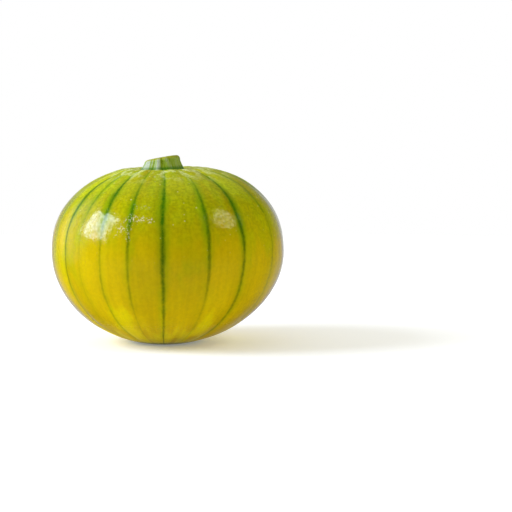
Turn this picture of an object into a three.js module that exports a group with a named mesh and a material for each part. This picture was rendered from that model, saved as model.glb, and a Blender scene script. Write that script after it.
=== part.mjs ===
// A whole summer squash, as picked: a round, ribbed fruit that carries the cut stub of its stalk.
// Millimetres, +Z up. The origin is on the surface it stands on, under the middle of the fruit's
// girth, and -Y is the front.
import * as THREE from 'three';

// ---- The fruit -------------------------------------------------------------------------------
const FRUIT_WIDTH = 100;
const GIRTH_HEIGHT = 39.3; // where the fruit is widest, above what it rests on
const RISE_ABOVE_GIRTH = 37.5;
const UPPER_FULLNESS = 2.28; // exponent of the upper outline: 2 is an ellipse, and more is squarer
const LOWER_FULLNESS = 1.96;
const RESTING_RADIUS = 9.8; // the underside is flat this far out, where the fruit settled
const SCAR_RADIUS = 4.2; // the scar that the blossom left, sunk in the resting spot
const SCAR_FLOOR_RADIUS = 3.2;
const SCAR_DEPTH = 0.5;

const SEAT_RADIUS = 9.4; // the flat that the stalk stands on
const RIM_RADIUS = 19.0; // where the shoulder starts down towards the seat
const SEAT_DIP = 1.9; // how far the seat lies below the run of the shoulder

// The furrows part the ribs. Each has its azimuth, in degrees from the front towards +X, and its
// share of the full depth: where the ribs are narrow or hardly parted, the furrow is shallower.
const FURROWS = [
  { azimuth: -75, share: 0.5 },
  { azimuth: -59, share: 0.75 },
  { azimuth: -47, share: 0.25 },
  { azimuth: -34, share: 0.8 },
  { azimuth: -19, share: 0.7 },
  { azimuth: -2, share: 1.0 },
  { azimuth: 20, share: 0.8 },
  { azimuth: 39, share: 1.0 },
  { azimuth: 61, share: 0.4 },
  { azimuth: 80, share: 1.0 },
  { azimuth: 98, share: 0.5 },
  { azimuth: 117, share: 1.0 },
  { azimuth: 136, share: 0.8 },
  { azimuth: 154, share: 0.4 },
  { azimuth: 172, share: 1.0 },
  { azimuth: 191, share: 0.5 },
  { azimuth: 210, share: 1.0 },
  { azimuth: 229, share: 0.8 },
  { azimuth: 247, share: 0.5 },
  { azimuth: 266, share: 1.0 },
];
const FURROW_DEPTH_AT_GIRTH = 0.1;
const FURROW_DEPTH_ON_SHOULDER = 0.42;
const FURROW_DEPTH_UNDERNEATH = 0.35;
const FURROW_DEEPENING = 25; // how far in from the girth a furrow reaches that depth
const FURROW_RUN_OUT = 18; // over which it fades out beside the seat and the resting spot
const FURROW_SHARPNESS = 1.6;

const BASE_SHIFT = -1.2; // the resting spot is off the middle of the girth, towards -X
const SEAT_SHIFT = -2.0; // and so is the stalk's seat
const SEAT_SHIFT_SHARPNESS = 6; // how closely that shift keeps to the seat
const SHOULDER_SLANT = 0.8; // degrees: the shoulder and the seat are higher on the +X side
const OVAL_SWELL = 0.4; // the girth is a little oval
const OVAL_AZIMUTH = 35;
const TRIANGLE_SWELL = 0.25; // and a little three-cornered
const TRIANGLE_AZIMUTH = 80;

const COLUMNS_PER_RIB = 6;
const RINGS_BELOW_GIRTH = 12;
const RINGS_ABOVE_GIRTH = 14;

// ---- The stalk -------------------------------------------------------------------------------
const STALK_FOOT_RADIUS = 8.9;
const STALK_NECK_RADIUS = 7.2;
const STALK_TAPER = 1.5; // exponent of the side's sweep: 1 is straight, and more is hollower
const STALK_HEIGHT = 4.8; // on its axis
const CUT_SLOPE = 9; // degrees: the knife left the cut higher on the +X side
const CUT_TILT = 4; // degrees: and a little higher at the front
const CUT_EDGE_RADIUS = 1.7;
// The ridges, from the front towards +X. Each has its azimuth at the foot and at the cut and the angle in
// which it falls away, in degrees, and its rise as a share of the stalk's radius.
const STALK_RIDGES = [
  { foot: -57, cut: -55, spread: 20, rise: 0.09 },
  { foot: -14, cut: -15, spread: 8, rise: 0.05 },
  { foot: 26, cut: 10, spread: 8, rise: 0.045 },
  { foot: 55, cut: 50, spread: 18, rise: 0.075 },
  { foot: 98, cut: 94, spread: 15, rise: 0.065 },
  { foot: 129, cut: 131, spread: 8, rise: 0.045 },
  { foot: 163, cut: 160, spread: 19, rise: 0.08 },
  { foot: 203, cut: 199, spread: 8, rise: 0.045 },
  { foot: 235, cut: 231, spread: 17, rise: 0.07 },
  { foot: 270, cut: 266, spread: 14, rise: 0.07 },
];
const FOOT_FLARE = 0.2; // how much further the ridges stand out at the foot
const STALK_COLUMNS = 90;
const STALK_SIDE_RINGS = 4;
const STALK_EDGE_RINGS = 3;
const GAP = 0.3; // between the stalk's foot and the seat

const HALF_WIDTH = FRUIT_WIDTH / 2;
const RIBS = FURROWS.length;
const radians = THREE.MathUtils.degToRad;
const smooth = (low, high, value) => THREE.MathUtils.smoothstep(value, low, high);

// The angle at which a half of the outline has come in to this radius, from 0 at the girth.
function angleAt(radius, fullness) {
  return Math.acos((radius / HALF_WIDTH) ** (fullness / 2));
}

const restingAngle = angleAt(RESTING_RADIUS, LOWER_FULLNESS);
const dropBelowGirth = GIRTH_HEIGHT / Math.sin(restingAngle) ** (2 / LOWER_FULLNESS);
const seatAngle = angleAt(SEAT_RADIUS, UPPER_FULLNESS);

function lowerOutlinePoint(angle) {
  return new THREE.Vector2(
    HALF_WIDTH * Math.cos(angle) ** (2 / LOWER_FULLNESS),
    GIRTH_HEIGHT - dropBelowGirth * Math.sin(angle) ** (2 / LOWER_FULLNESS),
  );
}

function upperOutlinePoint(angle) {
  const radius = HALF_WIDTH * Math.cos(angle) ** (2 / UPPER_FULLNESS);
  const rise = RISE_ABOVE_GIRTH * Math.sin(angle) ** (2 / UPPER_FULLNESS);
  const dip = SEAT_DIP * (1 - smooth(SEAT_RADIUS, RIM_RADIUS, radius));
  return new THREE.Vector2(radius, GIRTH_HEIGHT + rise - dip);
}

const SEAT_HEIGHT = upperOutlinePoint(seatAngle).y;

// The whole outline, from the middle of the blossom scar up to the middle of the seat.
function fruitOutline() {
  const points = [
    new THREE.Vector2(0, SCAR_DEPTH),
    new THREE.Vector2(SCAR_FLOOR_RADIUS, SCAR_DEPTH),
    new THREE.Vector2(SCAR_RADIUS, 0),
    new THREE.Vector2(RESTING_RADIUS, 0),
  ];
  for (let i = 1; i < RINGS_BELOW_GIRTH; i += 1) {
    points.push(lowerOutlinePoint(restingAngle * (1 - i / RINGS_BELOW_GIRTH)));
  }
  for (let i = 0; i <= RINGS_ABOVE_GIRTH; i += 1) {
    points.push(upperOutlinePoint(seatAngle * (i / RINGS_ABOVE_GIRTH)));
  }
  points.push(new THREE.Vector2(0, points.at(-1).y));
  return points;
}

// How deep the furrows are where the fruit has this radius: shallow at the girth, deeper on the
// shoulder and underneath, and gone at the seat and at the resting spot.
function furrowDepth(radius, above) {
  const deepest = above ? FURROW_DEPTH_ON_SHOULDER : FURROW_DEPTH_UNDERNEATH;
  const start = above ? SEAT_RADIUS : RESTING_RADIUS;
  const inwards = smooth(0, FURROW_DEEPENING, HALF_WIDTH - radius);
  const fade = smooth(start, start + FURROW_RUN_OUT, radius);
  return fade * THREE.MathUtils.lerp(FURROW_DEPTH_AT_GIRTH, deepest, inwards);
}

// Where a column of the lathe stands: its azimuth, and how far it is into the nearer furrow, from 0
// on the middle of a rib to the furrow's own share of the depth.
function ribAt(turn) {
  const place = (turn * RIBS) % RIBS;
  const rib = Math.floor(place);
  const across = place - rib;
  const before = FURROWS[rib];
  const after = FURROWS[(rib + 1) % RIBS];
  const width = THREE.MathUtils.euclideanModulo(after.azimuth - before.azimuth, 360);
  const nearness = ((1 + Math.cos(2 * Math.PI * across)) / 2) ** FURROW_SHARPNESS;
  return {
    azimuth: radians(before.azimuth + width * across),
    furrow: nearness * (across < 0.5 ? before.share : after.share),
  };
}

// How far the ring at this height is off the middle. girth is the square of its share of the width.
function shiftAt(height, girth) {
  if (height > GIRTH_HEIGHT) {
    return SEAT_SHIFT * (1 - girth) ** SEAT_SHIFT_SHARPNESS;
  }
  return BASE_SHIFT * (1 - girth);
}

// How far the slanting shoulder is raised at this place.
function slantAt(x, height) {
  const share = Math.max(0, height - GIRTH_HEIGHT) / (SEAT_HEIGHT - GIRTH_HEIGHT);
  return Math.tan(radians(SHOULDER_SLANT)) * x * share;
}

// The fruit is a lathe whose columns are moved to the ribs, with the furrows pressed in.
function fruitGeometry() {
  const columns = RIBS * COLUMNS_PER_RIB;
  const outline = fruitOutline();
  const geometry = new THREE.LatheGeometry(outline, columns).rotateX(Math.PI / 2);
  const position = geometry.getAttribute('position');
  const normal = geometry.getAttribute('normal');
  for (let i = 0; i < position.count; i += 1) {
    const { x: radius, y: height } = outline[i % outline.length];
    const { azimuth, furrow } = ribAt(Math.floor(i / outline.length) / columns);
    const depth = furrow * furrowDepth(radius, height > GIRTH_HEIGHT);
    const outwards = Math.hypot(normal.getX(i), normal.getY(i));
    const girth = (radius / HALF_WIDTH) ** 2;
    const swell =
      OVAL_SWELL * Math.cos(2 * (azimuth - radians(OVAL_AZIMUTH))) +
      TRIANGLE_SWELL * Math.cos(3 * (azimuth - radians(TRIANGLE_AZIMUTH)));
    const spread = radius - depth * outwards + swell * girth;
    const x = spread * Math.sin(azimuth) + shiftAt(height, girth);
    const z = height - depth * normal.getZ(i) + slantAt(x, height);
    position.setXYZ(i, x, -spread * Math.cos(azimuth), z);
  }
  geometry.computeVertexNormals();
  return geometry;
}

// The stalk's outline, from the middle of its foot up to the middle of the cut.
function stalkOutline() {
  const points = [new THREE.Vector2(0, 0)];
  for (let i = 0; i < STALK_SIDE_RINGS; i += 1) {
    const share = i / STALK_SIDE_RINGS;
    const flare = (STALK_FOOT_RADIUS - STALK_NECK_RADIUS) * (1 - share) ** STALK_TAPER;
    const height = (STALK_HEIGHT - CUT_EDGE_RADIUS) * share;
    points.push(new THREE.Vector2(STALK_NECK_RADIUS + flare, height));
  }
  for (let i = 0; i <= STALK_EDGE_RINGS; i += 1) {
    const turn = (Math.PI / 2) * (i / STALK_EDGE_RINGS);
    const inwards = CUT_EDGE_RADIUS * (1 - Math.cos(turn));
    const down = CUT_EDGE_RADIUS * (1 - Math.sin(turn));
    points.push(new THREE.Vector2(STALK_NECK_RADIUS - inwards, STALK_HEIGHT - down));
  }
  points.push(new THREE.Vector2(0, STALK_HEIGHT));
  return points;
}

// How far the stalk's side stands out, as a share of its radius, at this azimuth in degrees and at
// this share of its height.
function ridgeAt(azimuth, share) {
  let rise = 0;
  for (const ridge of STALK_RIDGES) {
    const crest = THREE.MathUtils.lerp(ridge.foot, ridge.cut, share);
    const off = THREE.MathUtils.euclideanModulo(azimuth - crest + 180, 360) - 180;
    rise += ridge.rise * Math.exp(-((off / ridge.spread) ** 2));
  }
  return rise;
}

function stalkGeometry() {
  const geometry = new THREE.LatheGeometry(stalkOutline(), STALK_COLUMNS).rotateX(Math.PI / 2);
  const position = geometry.getAttribute('position');
  for (let i = 0; i < position.count; i += 1) {
    const azimuth = THREE.MathUtils.radToDeg(Math.atan2(position.getX(i), -position.getY(i)));
    const share = position.getZ(i) / STALK_HEIGHT;
    const flare = 1 + FOOT_FLARE * (1 - share) ** 2;
    const grow = 1 + ridgeAt(azimuth, share) * flare;
    const x = position.getX(i) * grow;
    const y = position.getY(i) * grow;
    const slant = x * Math.tan(radians(CUT_SLOPE)) - y * Math.tan(radians(CUT_TILT));
    position.setXYZ(i, x, y, position.getZ(i) + slant * share);
  }
  geometry.computeVertexNormals();
  return geometry;
}

// ---- The squash ------------------------------------------------------------------------------
const skin = new THREE.MeshStandardMaterial({ color: 0xd3bf12, roughness: 0.3, metalness: 0 });
const stalkSkin = new THREE.MeshStandardMaterial({ color: 0x86a34c, roughness: 0.6, metalness: 0 });

const fruit = new THREE.Mesh(fruitGeometry(), skin);
fruit.name = 'fruit';

const stalk = new THREE.Mesh(stalkGeometry(), stalkSkin);
stalk.name = 'stalk';
stalk.position.set(SEAT_SHIFT, 0, SEAT_HEIGHT + slantAt(SEAT_SHIFT, SEAT_HEIGHT) + GAP);
stalk.rotation.y = -radians(SHOULDER_SLANT);

const squash = new THREE.Group();
squash.add(fruit, stalk);

export default squash;
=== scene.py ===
# %% [markdown]
# # A round summer squash
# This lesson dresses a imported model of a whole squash: a ribbed, waxy fruit with the cut stub of its
# stalk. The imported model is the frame. It says where everything is, and it never moves. Blender adds
# what a maker would call the finish: a finer skin on the same form, its colours, its gloss and its
# small faults.

import math

import bpy
import numpy as np
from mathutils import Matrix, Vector, noise


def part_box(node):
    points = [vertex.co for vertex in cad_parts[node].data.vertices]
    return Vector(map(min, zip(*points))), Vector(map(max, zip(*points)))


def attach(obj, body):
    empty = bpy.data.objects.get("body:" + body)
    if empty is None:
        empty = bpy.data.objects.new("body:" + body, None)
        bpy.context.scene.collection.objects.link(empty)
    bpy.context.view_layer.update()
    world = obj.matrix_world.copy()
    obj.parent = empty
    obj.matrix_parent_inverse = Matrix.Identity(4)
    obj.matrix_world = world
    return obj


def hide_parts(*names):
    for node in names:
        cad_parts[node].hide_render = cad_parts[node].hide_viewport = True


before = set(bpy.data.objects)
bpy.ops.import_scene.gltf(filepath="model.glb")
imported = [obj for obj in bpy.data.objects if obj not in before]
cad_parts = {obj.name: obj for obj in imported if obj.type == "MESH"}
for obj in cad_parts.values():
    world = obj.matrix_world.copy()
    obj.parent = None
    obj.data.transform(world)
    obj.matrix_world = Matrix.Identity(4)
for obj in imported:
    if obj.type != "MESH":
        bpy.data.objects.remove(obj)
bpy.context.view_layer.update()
fruit_low, fruit_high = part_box("fruit")
stalk_low, stalk_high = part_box("stalk")

MM = 0.001
print("nodes:", sorted(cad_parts))
print("fruit from", round(fruit_low.z / MM, 1), "to", round(fruit_high.z / MM, 1), "mm")
print("stalk from", round(stalk_low.z / MM, 1), "to", round(stalk_high.z / MM, 1), "mm")

# %% [markdown]
# ## Camera
# A long lens, far away, keeps the round form free of distortion. The camera stands five degrees
# above the middle of the fruit. It looks past the fruit's right side, so the squash sits left of the
# middle of the picture, with room for a second object.

# %% Set up the camera
GIRTH_HEIGHT = 39.3 * MM
CAMERA_ELEVATION = math.radians(5)
CAMERA_DISTANCE = 0.828
LENS, NEAREST_SEEN = 135, 0.05
LOOK_PAST = Vector((38.2 * MM, 0, -2.3 * MM))


def add_to_scene(name, data):
    """An object in the scene that shows this data."""
    thing = bpy.data.objects.new(name, data)
    bpy.context.scene.collection.objects.link(thing)
    return thing


def aim(thing, target):
    """Turns a camera or a lamp towards the target."""
    thing.rotation_mode = "QUATERNION"
    thing.rotation_quaternion = (target - thing.location).to_track_quat("-Z", "Y")


middle = Vector((0, 0, GIRTH_HEIGHT))
towards_camera = Vector((0, -math.cos(CAMERA_ELEVATION), math.sin(CAMERA_ELEVATION)))

camera = add_to_scene("camera", bpy.data.cameras.new("camera"))
camera.data.lens = LENS
camera.data.clip_start = NEAREST_SEEN
camera.location = middle + towards_camera * CAMERA_DISTANCE
aim(camera, middle + LOOK_PAST)
bpy.context.scene.camera = camera
print("camera at", tuple(round(v, 3) for v in camera.location))

# %% [markdown]
# ## Short words for shader nodes
# A material is a web of nodes. In plain code, each node takes several lines to add, set and wire.
# These helpers do it in one, so the cells below can be read as recipes.

# %% Helpers that add nodes
def plug(tree, node, inputs):
    """Gives each input of a node a value, or wires it to another node's output."""
    for name, value in inputs.items():
        if isinstance(value, bpy.types.NodeSocket):
            tree.links.new(value, node.inputs[name])
        else:
            node.inputs[name].default_value = value


def add(tree, kind, inputs=None, **settings):
    """Adds a node with these settings and inputs."""
    node = tree.nodes.new(kind)
    for name, value in settings.items():
        setattr(node, name, value)
    plug(tree, node, inputs or {})
    return node


def new_material(name):
    """A new material, its node tree and its shader."""
    material = bpy.data.materials.new(name)
    material.use_nodes = True
    tree = material.node_tree
    return material, tree, tree.nodes["Principled BSDF"]


def new_group(name, inputs, outputs):
    """An empty node group with these sockets, and its two end nodes."""
    group = bpy.data.node_groups.new(name, "ShaderNodeTree")
    for socket, kind in inputs.items():
        group.interface.new_socket(socket, in_out="INPUT", socket_type=kind)
    for socket, kind in outputs.items():
        group.interface.new_socket(socket, in_out="OUTPUT", socket_type=kind)
    return group, group.nodes.new("NodeGroupInput"), group.nodes.new("NodeGroupOutput")


def fact(tree, name):
    """A number that the mesh keeps at each vertex."""
    return add(tree, "ShaderNodeAttribute", attribute_name=name).outputs["Fac"]


def place_on(tree):
    """Where a point of the surface is, in metres."""
    return add(tree, "ShaderNodeTexCoord").outputs["Object"]


print("helpers for nodes ready")

# %% Helpers for numbers and colours
GIVE_A_NUMBER = ("DOT_PRODUCT", "LENGTH", "DISTANCE")


def maths(tree, operation, *values, clamp=False):
    node = add(tree, "ShaderNodeMath", dict(enumerate(values)), operation=operation, use_clamp=clamp)
    return node.outputs[0]


def vectors(tree, operation, *values):
    node = add(tree, "ShaderNodeVectorMath", dict(enumerate(values)), operation=operation)
    return node.outputs["Value" if operation in GIVE_A_NUMBER else "Vector"]


def times(tree, value, factor, plus=0.0, clamp=False):
    """The value times the factor, plus what is to be added."""
    return maths(tree, "MULTIPLY_ADD", value, factor, plus, clamp=clamp)


def slide(tree, amount, at_none, at_full):
    """One number where amount is 0, the other where it is 1, and a blend between."""
    return times(tree, amount, at_full - at_none, plus=at_none)


def between(tree, value, low, high, full=1.0):
    """0 where value is at low and full where it is at high, with an even curve between."""
    limits = {"Value": value, "From Min": low, "From Max": high, "To Max": full}
    return add(tree, "ShaderNodeMapRange", limits, interpolation_type="SMOOTHSTEP").outputs[0]


def blend(tree, amount, first, second, **settings):
    """The first colour where amount is 0 and the second where it is 1."""
    colours = {0: amount, 6: first, 7: second}
    return add(tree, "ShaderNodeMix", colours, data_type="RGBA", **settings).outputs[2]


def coats(tree, colour, *layers):
    """The colour under coats of paint: how much there is of each, and its colour."""
    for amount, coat in layers:
        colour = blend(tree, amount, colour, coat)
    return colour


def ramp(tree, share, stops):
    """A colour that passes through the stops as share goes from 0 to 1."""
    node = add(tree, "ShaderNodeValToRGB", {"Fac": share})
    while len(node.color_ramp.elements) < len(stops):
        node.color_ramp.elements.new(1.0)
    for element, (position, colour) in zip(node.color_ramp.elements, stops):
        element.position = position
        element.color = colour
    return node.outputs["Color"]


def cloud(tree, place, to_a_metre, detail=2.0):
    """Soft noise between 0 and 1, with about this many bumps to a metre."""
    settings = {"Vector": place, "Scale": to_a_metre, "Detail": detail}
    return add(tree, "ShaderNodeTexNoise", settings).outputs["Fac"]


def swing(tree, share):
    """A number between 0 and 1, moved to lie between -0.5 and 0.5."""
    return maths(tree, "SUBTRACT", share, 0.5)


def spots(tree, place, pattern):
    """Soft-edged spots. A pattern is how many there are to a metre, how high the noise is at their
    edge and in their middle, and how much detail their outline has."""
    to_a_metre, edge, core, detail = pattern
    return between(tree, cloud(tree, place, to_a_metre, detail), edge, core)


print("helpers for numbers and colours ready")

# %% [markdown]
# ## A white surround
# Glossy fruit shows whatever stands around it. Here that is a white studio: bright at the back,
# where the paper hangs, and dimmer at the front, behind the camera. The paper itself is drawn pure
# white. A polarising filter on the lens would take the milky veil off a glossy skin, and the world
# does the same: a reflection sees the paper only straight behind, and the light that spills past the
# large softbox at the left. So the fruit keeps its deep colour and only its rims turn pale. The
# Standard view transform shows the colours as they are mixed, which makes them easy to match.

# %% Light the world
PAPER_LIGHT_FROM = Vector((-0.35, 0.9, 0.25))
FRONT_LIGHT, PAPER_LIGHT = 0.10, 0.84
UP, BACK = Vector((0, 0, 1)), Vector((0, 1, 0))
# gleams: the direction, the cosine of the angle from there to the edge, and the strength
PAPER_GLEAM = (Vector((0.1, 0.95, -0.3)), 0.55, 0.45)
RIM_GLEAM = (BACK, 0.93, 0.35)
SPILL_GLEAM = (Vector((-0.86, 0.38, 0.34)), 0.82, 0.9)
# how far up a ray points where a gleam starts and is full: over the table's edge, then at the
# bottom and at the top of the band that the rims mirror
TABLE_EDGE = (-0.7, -0.2)
BAND_BOTTOM, BAND_TOP = (-0.25, -0.1), (0.12, 0.0)

bpy.context.scene.view_settings.view_transform = "Standard"
world = bpy.data.worlds.new("white studio")
world.use_nodes = True
studio = world.node_tree
ray = add(studio, "ShaderNodeTexCoord").outputs["Generated"]


def facing(wanted):
    """1 for a ray in the wanted direction, and -1 for one in the opposite direction."""
    return vectors(studio, "DOT_PRODUCT", ray, wanted)


def gleam(wanted, edge, strength):
    """A gleam that fades from its middle to its edge."""
    return between(studio, facing(wanted), edge, 1.0, full=strength)


towards_paper = slide(studio, facing(PAPER_LIGHT_FROM), 0.5, 1.0)
light = slide(studio, towards_paper, FRONT_LIGHT, PAPER_LIGHT)
upwards = facing(UP)
paper_gleam = times(studio, gleam(*PAPER_GLEAM), between(studio, upwards, *TABLE_EDGE))
band = times(studio, between(studio, upwards, *BAND_BOTTOM), between(studio, upwards, *BAND_TOP))
side_gleams = times(studio, gleam(*RIM_GLEAM), band, plus=gleam(*SPILL_GLEAM))
gleams = maths(studio, "ADD", paper_gleam, side_gleams)

light_path = add(studio, "ShaderNodeLightPath").outputs
strength = add(studio, "ShaderNodeMix", {0: light_path["Is Glossy Ray"], 2: light, 3: gleams})
strength = maths(studio, "MAXIMUM", strength.outputs[0], light_path["Is Camera Ray"])
plug(studio, studio.nodes["Background"], {"Color": (1, 1, 1, 1), "Strength": strength})
bpy.context.scene.world = world
print("light from front and paper:", FRONT_LIGHT, PAPER_LIGHT)

# %% [markdown]
# ## Floor
# The floor is one matt, pale disc. It throws light back up at the underside of the fruit, and it
# takes the soft shadow that makes the fruit look heavy. It ends well behind the fruit. Further out
# it glows a little, as paper does where it curves up towards the lamps, so it passes into the white
# behind it without a line. The fruit doesn't mirror it, because its far edge would draw a line
# across the fruit.

# %% Lay the floor
FLOOR_RADIUS, FLOOR_SIDES = 0.6, 96
FLOOR_GREY = 0.90
GLOW_NEAR, GLOW_FAR = 0.22, 0.40
GLOW_GROWS = (0.05, 0.40)

floor_turns = [2 * math.pi * side / FLOOR_SIDES for side in range(FLOOR_SIDES)]
floor_edge = [(FLOOR_RADIUS * math.cos(a), FLOOR_RADIUS * math.sin(a), 0) for a in floor_turns]
floor_mesh = bpy.data.meshes.new("floor")
floor_mesh.from_pydata(floor_edge, [], [list(range(FLOOR_SIDES))])
floor = add_to_scene("floor", floor_mesh)

floor_paint, paper, paper_shader = new_material("pale floor")
from_middle = vectors(paper, "LENGTH", place_on(paper))
floor_look = {
    "Base Color": (FLOOR_GREY, FLOOR_GREY, FLOOR_GREY, 1),
    "Roughness": 0.9,
    "Specular IOR Level": 0.0,
    "Emission Color": (1, 1, 1, 1),
    "Emission Strength": slide(paper, between(paper, from_middle, *GLOW_GROWS), GLOW_NEAR, GLOW_FAR),
}
plug(paper, paper_shader, floor_look)
floor_mesh.materials.append(floor_paint)
floor.visible_glossy = False
print("floor radius, m:", FLOOR_RADIUS)

# %% [markdown]
# ## Softboxes
# The large, cool softbox at the left gives the skin its bright side and its big pale highlight. The
# small, almost round one at the right gives a second, weaker highlight. A light's highlight on a ball
# sits halfway between the light and the camera, which is how each direction was chosen. The third,
# above the camera, only fills the shadows: its own reflection is switched off.

# %% Hang the softboxes
SOFTBOX_DISTANCE = 1.0
COOL, WHITE, WARM = (0.87, 0.95, 1.15), (1, 1, 1), (1.0, 0.98, 0.65)
# the direction seen from the fruit, shape, width and height in metres, power in watts, colour
SOFTBOXES = {
    "large softbox": ((-0.88, -0.11, 0.495), "RECTANGLE", 0.54, 0.60, 10.8, COOL),
    "small softbox": ((0.67, -0.235, 0.625), "ELLIPSE", 0.46, 0.42, 2.3, WARM),
    "fill softbox": ((-0.1, -0.55, 0.83), "RECTANGLE", 0.75, 0.75, 0.5, WHITE),
}


def softbox(name, direction, shape, width, height, power, colour):
    """An area light that faces the fruit from this direction."""
    bulb = bpy.data.lights.new(name, "AREA")
    bulb.shape = shape
    bulb.size, bulb.size_y = width, height
    bulb.energy = power
    bulb.color = colour
    lamp = add_to_scene(name, bulb)
    lamp.location = middle + Vector(direction).normalized() * SOFTBOX_DISTANCE
    aim(lamp, middle)
    return lamp


lamps = {name: softbox(name, *facts) for name, facts in SOFTBOXES.items()}
lamps["fill softbox"].visible_glossy = False
print("lamps:", sorted(lamps))

# %% [markdown]
# ## The fruit's outline
# Seen from the side, the fruit is a squared-off ellipse, fuller above its girth than below it, with
# a shallow dip at the top for the stalk and a flat spot at the bottom where it settled. A ball could
# be pushed into this shape by hand, but the frame's fruit follows a formula, with some thirty rings.
# The same formula with more rings lies on it exactly, and is fine enough to carry the skin's texture.

# %% Measure out the rings
HALF_WIDTH = 50 * MM
RISE_ABOVE_GIRTH = 37.5 * MM
UPPER_FULLNESS = 2.28
LOWER_FULLNESS = 1.96
RESTING_RADIUS = 9.8 * MM
SEAT_RADIUS = 9.4 * MM
RIM_RADIUS = 19.0 * MM
SEAT_DIP = 1.9 * MM
RINGS_BELOW_GIRTH = 84
RINGS_ABOVE_GIRTH = 92


def smooth(low, high, value):
    """0 where value is at low and 1 where it is at high, with an even curve between."""
    share = np.clip((value - low) / (high - low), 0, 1)
    return share * share * (3 - 2 * share)


def angle_at(radius, fullness):
    return np.arccos((radius / HALF_WIDTH) ** (fullness / 2))


def outline(angles, rise, fullness):
    """The radius and height of each ring, from the girth towards a pole this far above it."""
    radius = HALF_WIDTH * np.cos(angles) ** (2 / fullness)
    return radius, GIRTH_HEIGHT + rise * np.sin(angles) ** (2 / fullness)


resting_angle = angle_at(RESTING_RADIUS, LOWER_FULLNESS)
seat_angle = angle_at(SEAT_RADIUS, UPPER_FULLNESS)
drop = GIRTH_HEIGHT / np.sin(resting_angle) ** (2 / LOWER_FULLNESS)
angles_below = np.linspace(resting_angle, 0, RINGS_BELOW_GIRTH, endpoint=False)
angles_above = np.linspace(0, seat_angle, RINGS_ABOVE_GIRTH)
radius_below, height_below = outline(angles_below, -drop, LOWER_FULLNESS)
radius_above, height_above = outline(angles_above, RISE_ABOVE_GIRTH, UPPER_FULLNESS)
height_above -= SEAT_DIP * smooth(RIM_RADIUS, SEAT_RADIUS, radius_above)
seat_height = height_above[-1]
print("seat height, mm:", round(seat_height / MM, 2))

# %% [markdown]
# ## The blossom scar
# Opposite the stalk, a squash carries the scar that its blossom left: a shallow, corky pit with a
# small nub in the middle. It faces the table, inside the flat spot, so it never reaches the floor.
# It is part of the outline too: cutting it out of the skin would leave a ragged edge.

# %% Add the scar and the seat to the outline
SCAR_RADIUS = 4.2 * MM
SCAR_FLOOR_RADIUS = 3.2 * MM
SCAR_DEPTH = 0.5 * MM
NUB_RADIUS = 1.1 * MM
NUB_TOP_SHARE = 0.4
NUB_HEIGHT = 0.3 * MM
FIRST_RING_RADIUS = 0.25 * MM
LAST_RING_RADIUS = 5 * MM
SCAR_RINGS, FLAT_RINGS, SEAT_RINGS = 14, 7, 8
SCAR_ENDS, FLAT_STARTS = 1.05 * SCAR_RADIUS, 1.2 * SCAR_RADIUS

scar_radius = np.linspace(FIRST_RING_RADIUS, SCAR_ENDS, SCAR_RINGS)
scar_pit = SCAR_DEPTH * smooth(SCAR_RADIUS, SCAR_FLOOR_RADIUS, scar_radius)
nub = NUB_HEIGHT * smooth(NUB_RADIUS, NUB_TOP_SHARE * NUB_RADIUS, scar_radius)
flat_radius = np.linspace(FLAT_STARTS, RESTING_RADIUS, FLAT_RINGS, endpoint=False)
seat_radius = np.linspace(SEAT_RADIUS, LAST_RING_RADIUS, SEAT_RINGS)[1:]

ring_radius = [scar_radius, flat_radius, radius_below, radius_above, seat_radius]
ring_height = [scar_pit - nub, 0 * flat_radius, height_below, height_above]
ring_radius = np.concatenate(ring_radius)
ring_height = np.concatenate(ring_height + [0 * seat_radius + seat_height])
along = np.gradient(ring_radius), np.gradient(ring_height)
steepness = np.hypot(*along)
ring_outward = along[1] / steepness
ring_upward = -along[0] / steepness
print("rings:", len(ring_radius))
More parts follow.
